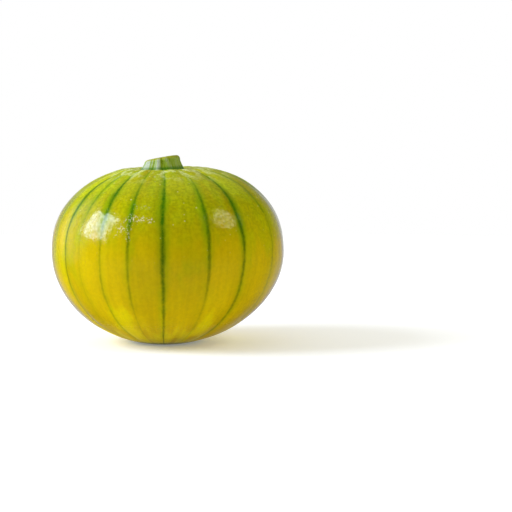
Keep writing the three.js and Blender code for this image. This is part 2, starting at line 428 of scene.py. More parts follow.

# %% [markdown]
# ## Ribs and furrows
# Twenty furrows run from pole to pole. They are unevenly spaced, as on any real squash, and a dark
# green stripe follows each one. A stripe is rarely even: it may start late on the shoulder, or fade
# before it gets underneath. They could be drawn with brushes, but a list is easier to put right. Each
# furrow lists how deep it is, and how dark its stripe is at five stations from the stalk down to the
# underside. The rib beyond it ripened at its own pace: one number says how many millimetres further
# up than usual it is golden. Another says how much paler or darker the whole rib is than the others:
# partly the rib's own tone, and partly painted light and shade, fitted to how the light falls on it.

# %% List the furrows and place the columns
# azimuth, depth as a share, darkness at the five stations from the stalk down, then the rib beyond
# the furrow: riper by, in mm, and paler by, as a share; paler by is partly the rib's own tone and
# partly painted light and shade
FURROWS = [
    (-75, 0.5, (0.35, 0.38, 0.30, 0.12, 0.12), 0, 0.16),
    (-59, 0.75, (0.60, 0.95, 0.90, 0.65, 0.45), -3, -0.03),
    (-47, 0.25, (0.50, 0.55, 0.30, 0.22, 0.15), 2, 0.01),
    (-34, 0.8, (0.65, 1.00, 0.80, 0.38, 0.45), 9, 0.00),
    (-19, 0.7, (0.40, 0.70, 0.95, 0.62, 0.26), 4, -0.08),
    (-2, 1.0, (0.60, 0.85, 1.00, 1.00, 0.70), -4, -0.04),
    (20, 0.8, (0.15, 0.60, 0.92, 0.74, 0.26), 6, -0.01),
    (39, 1.0, (0.50, 0.95, 0.95, 0.80, 0.55), -2, 0.04),
    (61, 0.4, (0.40, 0.50, 0.40, 0.35, 0.25), 5, 0.03),
    (80, 1.0, (0.55, 0.85, 0.95, 0.85, 0.50), -5, -0.06),
    (98, 0.5, (0.40, 0.40, 0.35, 0.25, 0.15), 0, 0.04),
    (117, 1.0, (0.60, 0.95, 0.85, 0.75, 0.50), 6, 0.06),
    (136, 0.8, (0.45, 0.70, 0.80, 0.75, 0.30), -3, -0.05),
    (154, 0.4, (0.50, 0.40, 0.30, 0.40, 0.35), 3, 0.00),
    (172, 1.0, (0.60, 0.90, 1.00, 0.95, 0.60), -6, 0.03),
    (191, 0.5, (0.35, 0.55, 0.45, 0.30, 0.15), 1, 0.05),
    (210, 1.0, (0.60, 0.85, 0.90, 0.80, 0.55), 7, 0.06),
    (229, 0.8, (0.45, 0.55, 0.80, 0.80, 0.30), -4, -0.06),
    (247, 0.5, (0.50, 0.35, 0.35, 0.30, 0.20), 2, 0.02),
    (266, 1.0, (0.60, 0.90, 0.80, 0.70, 0.45), 4, 0.06),
]
COLUMNS_PER_RIB = 24

furrow_degrees, furrow_share, stripe_stations, rib_ripeness, rib_paleness_and_painted_light = map(np.array, zip(*FURROWS))
furrow_azimuth = np.radians(furrow_degrees)
rib_width = np.diff(np.append(furrow_azimuth, furrow_azimuth[0] + 2 * math.pi))

rib = np.repeat(np.arange(len(FURROWS)), COLUMNS_PER_RIB)
across = np.tile(np.arange(COLUMNS_PER_RIB) / COLUMNS_PER_RIB, len(FURROWS))
azimuth = furrow_azimuth[rib] + rib_width[rib] * across
furrow_angle = np.minimum(across, 1 - across) * rib_width[rib]
nearest_furrow = (rib + (across > 0.5)) % len(FURROWS)
print("columns:", len(azimuth), "widest rib, degrees:", round(math.degrees(rib_width.max()), 1))

# %% [markdown]
# ## Laying out the skin
# Each ring is pushed in at the furrows, a little at the girth and more on the shoulder. The seat
# and the resting spot are off the middle, the girth is slightly oval, and the shoulder slants. All
# of it repeats the frame's own shape, so the finer skin lies on the solid. Only two things are new:
# the furrows wander by part of a millimetre, as if drawn by hand, and a fine crease runs in the
# bottom of each.

# %% Lay out the skin
FURROW_DEPTH_AT_GIRTH = 0.1 * MM
FURROW_DEPTH_ON_SHOULDER = 0.42 * MM
FURROW_DEPTH_UNDERNEATH = 0.35 * MM
FURROW_DEEPENING = 25 * MM
FURROW_RUN_OUT = 18 * MM
FURROW_SHARPNESS = 1.6
CREASE_DEPTH = 0.03 * MM
CREASE_WIDTH = 0.8 * MM
WANDER_ANGLE = math.radians(0.8)
WANDER_TURNS, WANDER_RISE = 3.0, 14 * MM
BASE_SHIFT = -1.2 * MM
SEAT_SHIFT = -2.0 * MM
SEAT_SHIFT_SHARPNESS = 6
SHOULDER_SLANT = math.radians(0.8)
OVAL_SWELL, OVAL_AZIMUTH = 0.4 * MM, math.radians(35)
TRIANGLE_SWELL, TRIANGLE_AZIMUTH = 0.25 * MM, math.radians(80)


def noise_over(points, size, seed):
    """Perlin noise at every point, for bumps of about this size."""
    offset = Vector((seed, seed * 0.7, seed * 1.3))
    flat = points.reshape(-1, 3) / size
    values = [noise.noise(Vector(point) + offset) for point in flat]
    return np.array(values).reshape(points.shape[:-1])


def on_circle(turn, size, along):
    """For every turn and every distance along: the place on a circle, and that distance."""
    return np.stack(np.broadcast_arrays(np.sin(turn) * size, np.cos(turn) * size, along), axis=-1)


radius = ring_radius[:, None]
height = ring_height[:, None]
is_above = height > GIRTH_HEIGHT
girth = (radius / HALF_WIDTH) ** 2
furrow_gap = furrow_angle * radius

deepest = np.where(is_above, FURROW_DEPTH_ON_SHOULDER, FURROW_DEPTH_UNDERNEATH)
run_out_start = np.where(is_above, SEAT_RADIUS, RESTING_RADIUS)
fade = smooth(run_out_start, run_out_start + FURROW_RUN_OUT, radius)
inwards = smooth(0, FURROW_DEEPENING, HALF_WIDTH - radius)
valley = ((1 + np.cos(2 * math.pi * across)) / 2) ** FURROW_SHARPNESS
crease = CREASE_DEPTH * np.exp(-((furrow_gap / CREASE_WIDTH) ** 2))
depth = valley * (FURROW_DEPTH_AT_GIRTH + inwards * (deepest - FURROW_DEPTH_AT_GIRTH)) + crease
depth = fade * furrow_share[nearest_furrow] * depth

circle = on_circle(azimuth, WANDER_TURNS, height / WANDER_RISE)
wander = WANDER_ANGLE * fade * noise_over(circle, 1.0, seed=31)
turned = azimuth + wander

swell = OVAL_SWELL * np.cos(2 * (turned - OVAL_AZIMUTH))
swell = swell + TRIANGLE_SWELL * np.cos(3 * (turned - TRIANGLE_AZIMUTH))
spread = radius - depth * ring_outward[:, None] + swell * girth
seat_shift = SEAT_SHIFT * (1 - girth) ** SEAT_SHIFT_SHARPNESS
x = spread * np.sin(turned) + np.where(is_above, seat_shift, BASE_SHIFT * (1 - girth))
y = -spread * np.cos(turned)
rise_share = np.maximum(0, height - GIRTH_HEIGHT) / (seat_height - GIRTH_HEIGHT)
z = height - depth * ring_upward[:, None] + math.tan(SHOULDER_SLANT) * x * rise_share
skin_points = np.stack([x, y, z], axis=-1)
print("points on the skin:", skin_points.shape[0] * skin_points.shape[1])

# %% [markdown]
# ## Lumps and peel
# No fruit is a perfect solid of revolution. Broad, faint lumps come from how it grew against leaves
# and soil, and the skin itself has a fine peel texture, two or three millimetres from crest to
# crest. Both are modelled, not painted as a bump, because a highlight and the edge of the fruit show
# them at once. They fade out at the resting spot and at the seat.

# %% Press lumps and peel into the skin
LUMP_HEIGHT, LUMP_SIZE = 0.22 * MM, 16 * MM
PEEL_HEIGHT, PEEL_SIZE = 0.03 * MM, 2.2 * MM
RELIEF_STARTS, RELIEF_FULL = -1 * MM, 6.5 * MM


def outward_normals(points):
    """Unit normals of a closed band of points, rings by columns."""
    wrapped = np.concatenate([points[:, -1:], points, points[:, :1]], axis=1)
    around = (wrapped[:, 2:] - wrapped[:, :-2]) / 2
    normals = np.cross(around, np.gradient(points, axis=0))
    return normals / np.linalg.norm(normals, axis=-1, keepdims=True)


relief = LUMP_HEIGHT * noise_over(skin_points, LUMP_SIZE, seed=3)
relief += PEEL_HEIGHT * noise_over(skin_points, PEEL_SIZE, seed=11)
settled = smooth(run_out_start + RELIEF_STARTS, run_out_start + RELIEF_FULL, radius)
skin_points = skin_points + outward_normals(skin_points) * (relief * settled)[..., None]
skin_points[..., 2] = np.maximum(skin_points[..., 2], 0)
print("relief, mm:", round(relief.min() / MM, 2), "to", round(relief.max() / MM, 2))

# %% [markdown]
# ## From points to a mesh
# Quads join each ring to the next, and a fan of triangles closes each end. A subdivision modifier on
# the frame's own mesh would be quicker, but it would shrink the form and blunt the furrows. The same
# helper weaves the stalk later on.

# %% Weave the skin
def weave(name, points):
    """A closed object from rings of points, with a fan to a tip at each end."""
    rings, columns, _ = points.shape
    index = np.arange(rings * columns).reshape(rings, columns)
    next_along = np.roll(index, -1, axis=1)
    corners = [index[:-1], next_along[:-1], next_along[1:], index[1:]]
    quads = np.stack(corners, axis=-1).reshape(-1, 4)
    first_tip, last_tip = rings * columns, rings * columns + 1
    fans = [(first_tip, b, a) for a, b in zip(index[0], next_along[0])]
    fans += [(last_tip, a, b) for a, b in zip(index[-1], next_along[-1])]
    tips = [points[0].mean(axis=0), points[-1].mean(axis=0)]
    mesh = bpy.data.meshes.new(name)
    mesh.from_pydata(np.concatenate([points.reshape(-1, 3), tips]).tolist(), [], quads.tolist() + fans)
    mesh.polygons.foreach_set("use_smooth", [True] * len(mesh.polygons))
    mesh.update()
    return add_to_scene(name, mesh)


skin = weave("fruit_skin", skin_points)
print("faces on the skin:", len(skin.data.polygons))

# %% [markdown]
# ## Facts for the paint
# A material can't know where the furrows are, but the mesh can tell it. Each vertex keeps how far
# it is from the nearest furrow and on which side, how dark the stripe is there, how ripe its rib is
# and how much paler it is painted, which is partly painted light and shade, how far it is from the
# middle of the squash, and a growth direction: a place on the unit circle plus a distance along the
# rib, so that streaks can be drawn out from pole to pole without a seam. Stripes narrow towards the
# poles, so the distance to a furrow counts for more there. An image wrapped round the fruit could
# hold the stripes as well, but it would blur close up.

# %% Store the facts on the mesh
DARKNESS_STATIONS = np.array([75, 66, 56, 42, 12]) * MM
STRIPE_WIDTH_AT_POLE = 0.2
STRIPE_WIDENS_FROM, STRIPE_WIDENS_TO = 14 * MM, 46 * MM


def store(piece, points, facts, tips=(0, 0)):
    """Keeps these facts for each of the points on the mesh, and for its two tips."""
    for name, values in facts.items():
        attribute = piece.data.attributes.new(name, "FLOAT", "POINT")
        attribute.data.foreach_set("value", np.append(np.broadcast_to(values, points.shape[:2]), tips))


def store_growth(piece, turn, along):
    """Keeps the growth direction: the turn as a place on a circle, and the distance along."""
    tips = [0, 0, along[0, 0], 0, 0, along[-1, 0]]
    attribute = piece.data.attributes.new("growth", "FLOAT_VECTOR", "POINT")
    attribute.data.foreach_set("vector", np.append(on_circle(turn, 1, along), tips))


stripes_up_the_rings = [
    np.interp(ring_height, DARKNESS_STATIONS[::-1], darkness[::-1]) for darkness in stripe_stations
]
stripe_darkness = np.stack(stripes_up_the_rings, axis=-1)[:, nearest_furrow]
wide = smooth(STRIPE_WIDENS_FROM, STRIPE_WIDENS_TO, radius)
stripe_width = STRIPE_WIDTH_AT_POLE + (1 - STRIPE_WIDTH_AT_POLE) * wide
skin_facts = {
    "furrow_gap_mm": furrow_gap / MM / stripe_width,
    "furrow_side": np.sin(2 * math.pi * across),
    "stripe_darkness": stripe_darkness,
    "riper_by_mm": rib_ripeness[rib],
    "paler_by_tone_and_light": rib_paleness_and_painted_light[rib],
    "ring_radius_mm": radius / MM,
}
store(skin, skin_points, skin_facts)
store_growth(skin, azimuth, np.cumsum(steepness)[:, None] / HALF_WIDTH)
print("stored:", [a.name for a in skin.data.attributes if not a.name.startswith(".")])

# %% [markdown]
# ## Growth streaks
# Skin and stalk both grew lengthwise, and both show faint streaks along that direction. The streaks
# are noise, stretched: the place on the unit circle is multiplied by a large number and the
# distance along the growth by a small one. One node group serves both materials.

# %% Build the streak group
streak_group, streak_in, streak_out = new_group(
    "growth streaks",
    {"Growth": "NodeSocketVector", "Around": "NodeSocketFloat", "Along": "NodeSocketFloat"},
    {"Streak": "NodeSocketFloat"},
)
STREAK_EDGE, STREAK_CORE = 0.3, 0.7
around = streak_in.outputs["Around"]
stretch = {0: around, 1: around, 2: streak_in.outputs["Along"]}
stretch = add(streak_group, "ShaderNodeCombineXYZ", stretch).outputs[0]
stretched = vectors(streak_group, "MULTIPLY", streak_in.outputs["Growth"], stretch)
streak = cloud(streak_group, stretched, 1.0, detail=3.0)
plug(streak_group, streak_out, {"Streak": between(streak_group, streak, STREAK_EDGE, STREAK_CORE)})


def streaks(tree, around, along):
    """Streaks along the growth. More around makes them slimmer, and more along makes them shorter."""
    growth = add(tree, "ShaderNodeAttribute", attribute_name="growth").outputs["Vector"]
    inputs = {"Growth": growth, "Around": around, "Along": along}
    return add(tree, "ShaderNodeGroup", inputs, node_tree=streak_group).outputs["Streak"]


print("group:", streak_group.name)

# %% [markdown]
# ## Skin grain
# Under a soft light, the wax on a squash breaks a highlight up into small flecks, because its
# surface is pebbled at about half a millimetre, too fine to model. The group gives a height for a
# bump: soft noise at one size, with rounded cells at a smaller size on top.

# %% Build the grain group
grain_group, grain_in, grain_out = new_group(
    "skin grain",
    {"Place": "NodeSocketVector", "Pebbles": "NodeSocketFloat", "Cells": "NodeSocketFloat"},
    {"Height": "NodeSocketFloat"},
)
CELL_HEIGHT = -0.4
pebbles = cloud(grain_group, grain_in.outputs["Place"], grain_in.outputs["Pebbles"])
cells = {"Vector": grain_in.outputs["Place"], "Scale": grain_in.outputs["Cells"]}
cells = add(grain_group, "ShaderNodeTexVoronoi", cells, feature="SMOOTH_F1").outputs["Distance"]
plug(grain_group, grain_out, {"Height": times(grain_group, cells, CELL_HEIGHT, plus=pebbles)})


def grain(tree, place, pebbles, cells):
    """The height of a pebbled surface, with this many pebbles and cells to a metre."""
    inputs = {"Place": place, "Pebbles": pebbles, "Cells": cells}
    return add(tree, "ShaderNodeGroup", inputs, node_tree=grain_group).outputs["Height"]


def bump(tree, height, depth, strength=1.0):
    """The normals of a surface with this relief."""
    inputs = {"Strength": strength, "Distance": depth, "Height": height}
    return add(tree, "ShaderNodeBump", inputs).outputs["Normal"]


print("group:", grain_group.name)

# %% [markdown]
# ## The rind's ground colour
# The rind ripens from the blossom end up: deep gold low down and lime green on the shoulder. A colour
# ramp over the height gives that. Its palest stops, at the very bottom where the fruit meets the table,
# are painted light: they stand for light thrown up from the floor. Noise drawn out along the ribs moves
# the border up and down, so that it doesn't look dipped in paint, and a finer noise mottles the colour.

# %% Mix the ground colour
# how far up from the floor to the seat, and the colour there; the two lowest stops are lightened as
# painted light thrown up from the floor
GOLD_TO_LIME_AND_PAINTED_BOUNCE = [
    (0.00, (0.74, 0.60, 0.001, 1)),
    (0.11, (0.66, 0.47, 0.001, 1)),
    (0.22, (0.61, 0.43, 0.001, 1)),
    (0.48, (0.56, 0.41, 0.001, 1)),
    (0.62, (0.49, 0.41, 0.001, 1)),
    (0.76, (0.46, 0.43, 0.001, 1)),
    (0.88, (0.46, 0.47, 0.002, 1)),
    (1.00, (0.51, 0.56, 0.005, 1)),
]
BROAD_STREAKS, FINE_STREAKS = (5.5, 2.6), (30.0, 1.4)
BORDER_WANDER = 22 * MM
SHOULDER = (42 * MM, 62 * MM)
MOTTLE = (750.0, 0.36, 0.66, 4.0)
MOTTLE_TINT = (0.52, 0.56, 0.30, 1)
# pairs: below the shoulder and on it
MOTTLE_SHADE, HUE_SHARE = (0.16, 0.50), (0.3, 1.0)
STREAK_SHADE = 0.18
HUE_PATCHES_TO_A_METRE = 130.0
HUE_WANDER, SAME_HUE = 0.04, 0.5

rind, paint, rind_shader = new_material("rind")
place = place_on(paint)
sideways, _, above_floor = add(paint, "ShaderNodeSeparateXYZ", {0: place}).outputs
on_shoulder = between(paint, above_floor, *SHOULDER)

riper = times(paint, fact(paint, "riper_by_mm"), -MM, plus=above_floor)
wandered = times(paint, swing(paint, streaks(paint, *BROAD_STREAKS)), BORDER_WANDER, plus=riper)
ripeness = maths(paint, "DIVIDE", wandered, seat_height, clamp=True)
shade = times(paint, streaks(paint, *FINE_STREAKS), STREAK_SHADE)
mottle_shade = slide(paint, on_shoulder, *MOTTLE_SHADE)
shade = times(paint, spots(paint, place, MOTTLE), mottle_shade, plus=shade)
ramp_colour_with_painted_bounce = ramp(paint, ripeness, GOLD_TO_LIME_AND_PAINTED_BOUNCE)
mottled = blend(paint, shade, ramp_colour_with_painted_bounce, MOTTLE_TINT, blend_type="MULTIPLY")

greener = swing(paint, cloud(paint, place, HUE_PATCHES_TO_A_METRE, detail=3.0))
greener = times(paint, greener, slide(paint, on_shoulder, *HUE_SHARE))
hue = times(paint, greener, HUE_WANDER, plus=SAME_HUE)
# each rib's paler-by number lightens or darkens it: partly its own tone, partly painted light and shade
# fitted to how light falls on it
paler_and_painted_light = maths(paint, "ADD", fact(paint, "paler_by_tone_and_light"), 1.0)
rib_tint = {"Hue": hue, "Value": paler_and_painted_light, "Color": mottled}
ground = add(paint, "ShaderNodeHueSaturation", rib_tint).outputs["Color"]
print("ground colour:", len(GOLD_TO_LIME_AND_PAINTED_BOUNCE), "stops")

# %% [markdown]
# ## Stripes
# Each stripe is a dark line in the bottom of its furrow, green on the shoulder and olive below it,
# inside a soft green halo that spreads over the ribs' flanks. Both are drawn from the distance to the
# furrow. Noise makes the line's edges ragged, breaks it into darker and paler lengths, and lets the
# halo swell on one stretch and vanish on the next, more often on one side of the line than on both.
# The darkest stripes have olive flanks as well, partly their own colour and partly painted shade on the
# skin beside them. Curves laid on the skin would keep to the furrows too, but with clean edges, and a
# squash has none.

# %% Draw the stripes
LINE_GREEN, LINE_AND_CONTACT_SHADE_OLIVE = (0.045, 0.145, 0.001, 1), (0.065, 0.115, 0.001, 1)
HALO_GREEN, FLANK_SHADE_OLIVE = (0.19, 0.33, 0.001, 1), (0.20, 0.23, 0.001, 1)
# distances from the furrow, in mm: a line ends between the two reaches, by how dark it is
LINE_CORE, PALE_LINE_REACH, DARK_LINE_REACH = -0.1, 0.45, 1.70
HALO_REACH = 5.0
FLANK_CORE, FLANK_REACH = 0.4, 4.0
RAGS_TO_A_METRE, RAGGED_BY = 600.0, 1.1
LENGTHS, DOTS = (150.0, 0.30, 0.62, 3.0), (1000.0, 0.35, 0.60, 2.0)
LINE_STRENGTH, LENGTHS_ADD, DOTS_ADD = 0.6, 0.3, 0.25
HALO_SWELLS = (85.0, 0.32, 0.68, 2.0)
# pairs: between the swells and in them, then below the shoulder and on it
HALO_STRENGTH, HALO_ON_SHOULDER = (0.25, 1.0), (0.6, 1.4)
HALO_SOFTNESS = 1.8
HALO_FADES_TO_STALK = (10.0, 28.0)
LOPSIDED_TO_A_METRE, LOPSIDED_BY = 38.0, 6.0
DARKEST, FLANK_STRENGTH = (0.75, 1.05), 0.6

darkness_fact = fact(paint, "stripe_darkness")
ragged = swing(paint, cloud(paint, place, RAGS_TO_A_METRE, detail=3.0))
ragged_gap = times(paint, ragged, RAGGED_BY, plus=fact(paint, "furrow_gap_mm"))

line_reach = slide(paint, darkness_fact, PALE_LINE_REACH, DARK_LINE_REACH)
line = between(paint, ragged_gap, line_reach, LINE_CORE)
line_strength = times(paint, spots(paint, place, LENGTHS), LENGTHS_ADD, plus=LINE_STRENGTH)
line_strength = times(paint, spots(paint, place, DOTS), DOTS_ADD, plus=line_strength)
line_strength = times(paint, line_strength, darkness_fact)
line_amount = times(paint, line, line_strength, clamp=True)

lopsided = swing(paint, cloud(paint, place, LOPSIDED_TO_A_METRE, detail=1.0))
lopsided = times(paint, lopsided, fact(paint, "furrow_side"))
halo_strength = slide(paint, spots(paint, place, HALO_SWELLS), *HALO_STRENGTH)
halo_strength = times(paint, lopsided, LOPSIDED_BY, plus=halo_strength, clamp=True)
ring_fact = fact(paint, "ring_radius_mm")
halo = maths(paint, "POWER", between(paint, ragged_gap, HALO_REACH, 0.0), HALO_SOFTNESS)
halo = times(paint, halo, slide(paint, on_shoulder, *HALO_ON_SHOULDER))
halo = times(paint, halo, between(paint, ring_fact, *HALO_FADES_TO_STALK))
halo_amount = times(paint, times(paint, halo, halo_strength), darkness_fact, clamp=True)

# painted shade: beside the darkest stripes the skin is darkened to olive
painted_flank_shade = between(paint, ragged_gap, FLANK_REACH, FLANK_CORE)
painted_flank_shade = times(paint, painted_flank_shade, between(paint, darkness_fact, *DARKEST, full=FLANK_STRENGTH))
line_colour = blend(paint, on_shoulder, LINE_AND_CONTACT_SHADE_OLIVE, LINE_GREEN)
stripe = (halo_amount, HALO_GREEN), (painted_flank_shade, FLANK_SHADE_OLIVE), (line_amount, line_colour)
striped = coats(paint, ground, *stripe)
print("furrows with stripes:", len(FURROWS))

# %% [markdown]
# ## Bloom and specks
# Round the stalk the skin is paler, in soft, powdery blots that are drawn out away from it. Pale
# pores dot the shoulder: each cell of a Voronoi pattern may hold one dot, and most hold none. To
# model them would take thousands of faces for what is only a change of colour.

# %% Add bloom and specks
BLOOM_COLOUR = (0.72, 0.78, 0.32, 1)
BLOOM_REACH, BLOOM_FULL = 34.0, 17.0
BLOOM_STARTS, BLOOM_RISES = GIRTH_HEIGHT, GIRTH_HEIGHT + 15 * MM
BLOT_STREAKS, BLOTS = (9.0, 10.0), (0.42, 0.85)
POWDER, POWDER_STRENGTH = (1100.0, 0.38, 0.62, 2.0), (0.4, 1.0)
SPECK_COLOUR = (0.66, 0.62, 0.22, 1)
SPECKS_TO_A_METRE = 420.0
SPECK_EDGE, SPECK_CORE = 0.20, 0.08
SPECKS_LEFT_OUT = 0.75
SPECKS_RISE = (34 * MM, 62 * MM)
SPECK_STRENGTH = 0.7

upper_half = between(paint, above_floor, BLOOM_STARTS, BLOOM_RISES)
near_stalk = times(paint, between(paint, ring_fact, BLOOM_REACH, BLOOM_FULL), upper_half)
blots = times(paint, between(paint, streaks(paint, *BLOT_STREAKS), *BLOTS), near_stalk)
powder = slide(paint, spots(paint, place, POWDER), *POWDER_STRENGTH)
bloom = times(paint, blots, powder)

speck_cells = {"Vector": place, "Scale": SPECKS_TO_A_METRE}
speck_cells = add(paint, "ShaderNodeTexVoronoi", speck_cells).outputs
speck = between(paint, speck_cells["Distance"], SPECK_EDGE, SPECK_CORE)
chosen = add(paint, "ShaderNodeSeparateColor", {0: speck_cells["Color"]}).outputs[0]
speck = times(paint, speck, maths(paint, "GREATER_THAN", chosen, SPECKS_LEFT_OUT))
speck = times(paint, speck, between(paint, above_floor, *SPECKS_RISE, full=SPECK_STRENGTH))
speckled = coats(paint, striped, (bloom, BLOOM_COLOUR), (speck, SPECK_COLOUR))
print("specks to a metre:", SPECKS_TO_A_METRE)

# %% [markdown]
# ## Scuffs, painted glints and painted shade underneath
# On the front, something rubbed the wax off in small flecks. They are painted pale, partly for the
# scuffed wax and partly as painted glints, for the light they catch. Each rub is a short stroke: noise
# fills it with flecks, so it doesn't look drawn. Along the bottom, where the skin meets the table, it
# is dark olive: partly where the stripes meet and partly painted shade where the fruit sits. The scar
# in the middle of the underside is corky and brown.

# %% Add the scuffs with their painted glints, the painted shade at the table and the cork
SCUFF_AND_GLINT_COLOUR = (0.70, 0.61, 0.36, 1)
# where a rub starts and ends, in mm, how far it reaches and how strong it is
RUBS = [
    ((-20.0, -44.1, 51.0), (-14.8, -43.6, 56.7), 2.6, 0.8),
    ((-14.8, -43.6, 56.7), (-7.1, -45.9, 55.9), 1.9, 0.9),
    ((-14.8, -43.6, 56.7), (-15.9, -46.4, 48.5), 1.7, 0.5),
    ((-13.2, -40.8, 61.2), (-7.9, -42.2, 61.2), 2.0, 0.25),
]
RUB_CORE = 0.3
FLECKS, FLECK_GROUPS = (1500.0, 0.50, 0.64, 2.0), (420.0, 0.36, 0.56, 2.0)
CONTACT_SHADE_FADES, CONTACT_SHADE_STRENGTH = (2.2 * MM, 0.4 * MM), 0.8
CORK = (0.36, 0.24, 0.11, 1)
CORK_EDGE, CORK_FULL = SCAR_RADIUS / MM + 1.2, SCAR_RADIUS / MM - 0.3
UNDERNEATH = (3 * MM, 1 * MM)


def near_rub(start, end, reach):
    """1 on the line from start to end, and 0 where the skin is further from it than reach."""
    start, end = Vector(start) * MM, Vector(end) * MM
    along = end - start
    from_start = vectors(paint, "SUBTRACT", place, start)
    share = vectors(paint, "DOT_PRODUCT", from_start, along / along.length_squared)
    share = maths(paint, "ADD", share, 0.0, clamp=True)
    nearest = add(paint, "ShaderNodeVectorMath", {0: along, "Scale": share}, operation="SCALE")
    gap_to_rub = vectors(paint, "DISTANCE", from_start, nearest.outputs[0])
    return between(paint, gap_to_rub, reach * MM, RUB_CORE * reach * MM)


rubbed = 0.0
for start, end, reach, strength in RUBS:
    rubbed = maths(paint, "MAXIMUM", times(paint, near_rub(start, end, reach), strength), rubbed)
# pale flecks: partly scuffed wax, partly painted glints
flecks = times(paint, spots(paint, place, FLECKS), spots(paint, place, FLECK_GROUPS))
scuffs_and_painted_glints = times(paint, flecks, rubbed)

# painted shade where the fruit sits on the table, in the stripes' olive, partly where the stripes meet
# underneath
painted_contact_shade = between(paint, above_floor, *CONTACT_SHADE_FADES, full=CONTACT_SHADE_STRENGTH)
on_scar = between(paint, ring_fact, CORK_EDGE, CORK_FULL)
on_scar = times(paint, on_scar, between(paint, above_floor, *UNDERNEATH))
marks_glints_and_shade = (scuffs_and_painted_glints, SCUFF_AND_GLINT_COLOUR), (painted_contact_shade, LINE_AND_CONTACT_SHADE_OLIVE), (on_scar, CORK)
rind_colour = coats(paint, speckled, *marks_glints_and_shade)
print("rubs:", len(RUBS))

# %% [markdown]
# ## Gloss
# A squash is waxy, but the wax is thin and uneven, and the skin under it is pebbled. One roughness
# for the whole skin would make it look moulded. So a fine bump tilts the gloss here and there, and
# the crisp coat of wax lies on the skin in small flecks, thicker at the left, so that a highlight
# has a mottled middle and a crumbled edge. Between the flecks the bare skin shines only softly. Near
# the stalk and underneath, the wax is worn and the skin turns matt.

# %% Finish the rind
RIND_GRAIN, GRAIN_DEPTH = (800.0, 1600.0), 0.08 * MM
EDGE_ON = (0.55, 0.85)
GRAIN_SHARE = (1.0, 0.3)
MATT_SPOTS, ROUGHNESS = (1300.0, 0.42, 0.62, 2.0), (0.09, 0.15)
MATT_NEAR_STALK, MATT_UNDERNEATH = (60 * MM, 71 * MM), (16 * MM, 4 * MM)
MATT_ROUGHENS_BY, WAX_WHERE_MATT = 0.35, (1.0, 0.15)
WAX_FLECKS, WAX_PATCHES = (1150.0, 0.44, 0.56, 2.0), (330.0, 0.28, 0.46, 2.0)
THICKER_TO_THE_LEFT, THICKEST = (0.0, -24 * MM), 0.4

seen_edge_on = between(paint, add(paint, "ShaderNodeLayerWeight").outputs["Facing"], *EDGE_ON)
pebbled = times(paint, grain(paint, place, *RIND_GRAIN), slide(paint, seen_edge_on, *GRAIN_SHARE))

by_the_stalk = between(paint, above_floor, *MATT_NEAR_STALK)
matt = maths(paint, "MAXIMUM", by_the_stalk, between(paint, above_floor, *MATT_UNDERNEATH))
roughness = slide(paint, spots(paint, place, MATT_SPOTS), *ROUGHNESS)
roughness = times(paint, matt, MATT_ROUGHENS_BY, plus=roughness)

thicker = between(paint, sideways, *THICKER_TO_THE_LEFT, full=THICKEST)
wax = maths(paint, "MAXIMUM", spots(paint, place, WAX_FLECKS), thicker)
wax = times(paint, wax, spots(paint, place, WAX_PATCHES))
wax = maths(paint, "MAXIMUM", wax, seen_edge_on)
wax = times(paint, wax, slide(paint, matt, *WAX_WHERE_MATT))

rind_look = {
    "Base Color": rind_colour,
    "Roughness": roughness,
    "IOR": 1.22,
    "Normal": bump(paint, pebbled, GRAIN_DEPTH),
    "Coat Weight": wax,
    "Coat Roughness": 0.10,
    "Coat IOR": 1.37,
}
plug(paint, rind_shader, rind_look)
skin.data.materials.append(rind)
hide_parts("fruit")
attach(skin, "root")
print("rind nodes:", len(paint.nodes))

# %% [markdown]
# ## The stalk
# A cut stalk keeps the section of the stem: five broad ridges with a slim one between each two, no
# two alike. It flares at its foot, where it grew into the fruit, and the knife left its top
# slanting. A ring of equal teeth would look like a gear, so the list repeats the frame's own ridges
# and adds how pale each one is. The foot reaches a little below the seat, so no gap shows.

# %% Shape the stalk
STALK_FOOT_RADIUS = 8.9 * MM
STALK_NECK_RADIUS = 7.2 * MM
STALK_TAPER = 1.5
STALK_HEIGHT = 4.8 * MM
CUT_SLOPE = math.radians(9)
CUT_TILT = math.radians(4)
CUT_EDGE_RADIUS = 1.7 * MM
# azimuth at the foot, azimuth at the cut, spread, rise as a share of the radius, paleness
STALK_RIDGES = [
    (-57, -55, 20, 0.090, 1.0),
    (-14, -15, 8, 0.050, 1.0),
    (26, 10, 8, 0.045, 0.35),
    (55, 50, 18, 0.075, 0.35),
    (98, 94, 15, 0.065, 0.7),
    (129, 131, 8, 0.045, 0.9),
    (163, 160, 19, 0.080, 0.5),
    (203, 199, 8, 0.045, 0.9),
    (235, 231, 17, 0.070, 0.6),
    (270, 266, 14, 0.070, 0.8),
]
FOOT_FLARE, FLARE_SHARPNESS = 0.2, 2
GAP = 0.3 * MM
SUNK, SUNK_SHARPNESS = 0.25 * MM, 4
MIDDLE_RING_RADIUS = 0.15 * MM
STALK_COLUMNS = 320
SIDE_RINGS, EDGE_RINGS, FACE_RINGS = 40, 10, 24

